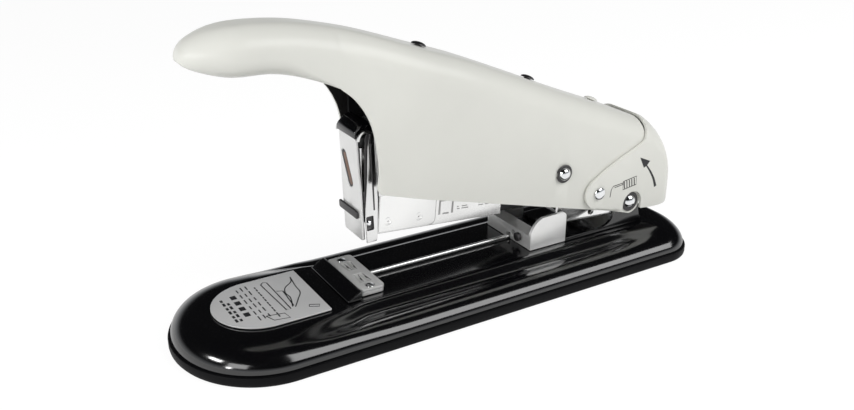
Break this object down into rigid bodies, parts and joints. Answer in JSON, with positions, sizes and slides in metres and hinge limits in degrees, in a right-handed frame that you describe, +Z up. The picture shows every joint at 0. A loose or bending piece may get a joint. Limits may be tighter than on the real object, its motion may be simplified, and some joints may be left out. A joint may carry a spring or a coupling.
{
  "type": "heavy duty stapler",
  "caption": "Long-arm desk stapler with a pressed base, raised lever handle, hinged magazine, sliding paper stop and a flip-up rear loading cap.",
  "frame": {"origin": "middle of the foot's outline, on the desk under the pads", "axes": "-X points to the nose and the handle's grip, +X to the hinge, +Z up, so -Y is the side that the picture shows"},
  "size_m": [0.2058, 0.065, 0.1072],
  "materials": {
    "gloss_black": "high gloss",
    "satin_black": "satin",
    "dark_steel": "blackened",
    "rubber": "matt",
    "bright_steel": "bright plated",
    "brushed_plate": "brushed",
    "chromed": "polished",
    "warm_white": "gloss"
  },
  "bodies": {
    "base": {"foot_tray": "satin_black", "foot_pad_front_near": "rubber", "foot_pad_front_far": "rubber", "foot_pad_rear_near": "rubber", "foot_pad_rear_far": "rubber", "base_shell": "gloss_black", "info_plate": "brushed_plate", "anvil_ramp": "satin_black", "anvil_bed": "dark_steel", "anvil_plate": "bright_steel", "anvil_rivet_near": "chromed", "anvil_rivet_far": "chromed", "guide_rod": "chromed", "hinge_bracket": "satin_black", "bracket_rivet_1": "bright_steel", "bracket_rivet_2": "bright_steel", "hinge_pin": "chromed"},
    "paper_stop": {"depth_stop": "bright_steel", "stop_screw": "dark_steel"},
    "magazine": {"magazine_channel": "bright_steel", "magazine_core": "satin_black", "staple_strip": "brushed_plate", "magazine_carrier": "bright_steel", "head_leaf": "bright_steel", "head_frame": "bright_steel", "head_strap": "dark_steel", "head_cap": "satin_black"},
    "pusher": {"staple_pusher": "dark_steel"},
    "driver": {"driver_blade": "bright_steel", "driver_block": "satin_black"},
    "handle": {"handle_shell": "warm_white", "handle_liner": "satin_black", "crown_rivet_front": "dark_steel", "crown_rivet_middle": "dark_steel", "crown_rivet_rear": "warm_white", "cross_pin": "chromed", "cross_washer_near": "dark_steel", "cross_washer_far": "dark_steel", "cap_rivet_near": "chromed", "cap_rivet_far": "chromed"},
    "cap": {"rear_cap": "warm_white"}
  },
  "joints": [
    {"name": "magazine_hinge", "type": "hinge", "parent": "base", "child": "magazine", "pos_m": [0.0775, 0, 0.0224], "axis": [0, -1, 0], "range_deg": [0, 6.6], "stiffness_Nm_per_rad": 4, "springref_deg": -22.92},
    {"name": "handle_press", "type": "hinge", "parent": "magazine", "child": "handle", "pos_m": [0.0775, 0, 0.0224], "axis": [0, -1, 0], "range_deg": [0, 7.6], "stiffness_Nm_per_rad": 3, "springref_deg": -22.92},
    {"name": "driver_slide", "type": "slide", "parent": "magazine", "child": "driver", "axis": [0.037, 0, -0.9993], "range_m": [0, 0.0156]},
    {"name": "pusher_slide", "type": "slide", "parent": "magazine", "child": "pusher", "axis": [0.9969, 0, -0.0792], "range_m": [0, 0.018], "stiffness_N_per_m": 30, "springref_m": -0.04},
    {"name": "cap_hinge", "type": "hinge", "parent": "handle", "child": "cap", "pos_m": [0.06, 0, 0.03], "axis": [0, -1, 0], "range_deg": [0, 35]},
    {"name": "stop_slide", "type": "slide", "parent": "base", "child": "paper_stop", "axis": [-1, 0, 0], "range_m": [0, 0.036]}
  ],
  "couplings": [
    {"joint": "driver_slide", "follows": "handle_press", "m_per_rad": 0.1161}
  ]
}
